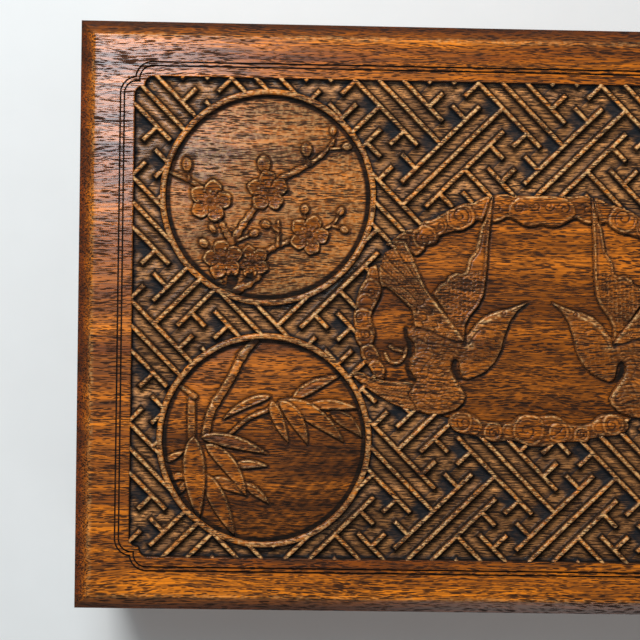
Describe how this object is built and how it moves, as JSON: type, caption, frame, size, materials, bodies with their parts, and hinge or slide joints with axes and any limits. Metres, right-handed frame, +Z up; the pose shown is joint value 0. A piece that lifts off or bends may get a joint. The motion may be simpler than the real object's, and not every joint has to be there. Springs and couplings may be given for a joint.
{
  "type": "carved wooden box",
  "caption": "Hinged wooden box with an overhanging carved lid: a diagonal key fret with flower roundels and an oval panel of two birds.",
  "frame": {"origin": "on the table, below the middle of the box: the centre of the footprint at the underside of the feet", "axes": "+X along the front to the right, +Y from the front to the hinged back, +Z up through the lid"},
  "size_m": [0.297, 0.189, 0.114],
  "materials": {
    "lid_wood": "satin",
    "board_wood": "satin",
    "lining_wood": "satin",
    "brass": "aged satin"
  },
  "bodies": {
    "box": {"foot_front_left": "board_wood", "foot_front_right": "board_wood", "foot_back_left": "board_wood", "foot_back_right": "board_wood", "plinth_front": "board_wood", "plinth_back": "board_wood", "plinth_left": "board_wood", "plinth_right": "board_wood", "bottom_panel": "board_wood", "wall_front": "board_wood", "wall_back": "board_wood", "wall_left": "board_wood", "wall_right": "board_wood", "lining_front": "lining_wood", "lining_back": "lining_wood", "lining_left": "lining_wood", "lining_right": "lining_wood", "hinge_body_leaf_left": "brass", "hinge_body_leaf_right": "brass", "hinge_pin_left": "brass", "hinge_pin_right": "brass", "hinge_screws_body": "brass", "latch_plate": "brass", "latch_plate_tacks": "brass", "latch_rivet": "brass"},
    "lid": {"lid_panel": "lid_wood", "lid_rim_front": "board_wood", "lid_rim_back": "board_wood", "lid_rim_left": "board_wood", "lid_rim_right": "board_wood", "hinge_lid_leaf_left": "brass", "hinge_lid_leaf_right": "brass", "hinge_screws_lid": "brass", "catch_plate": "brass", "catch_plate_tacks": "brass", "catch_post": "brass"},
    "latch_hook": {"latch_hook": "brass"}
  },
  "joints": [
    {"name": "lid_hinge", "type": "hinge", "parent": "box", "child": "lid", "pos_m": [0, 0.088, 0.082], "axis": [-1, 0, 0], "range_deg": [0, 99]},
    {"name": "latch_hook_pivot", "type": "hinge", "parent": "box", "child": "latch_hook", "pos_m": [0, -0.0929, 0.07], "axis": [0, -1, 0], "range_deg": [0, 180]}
  ]
}
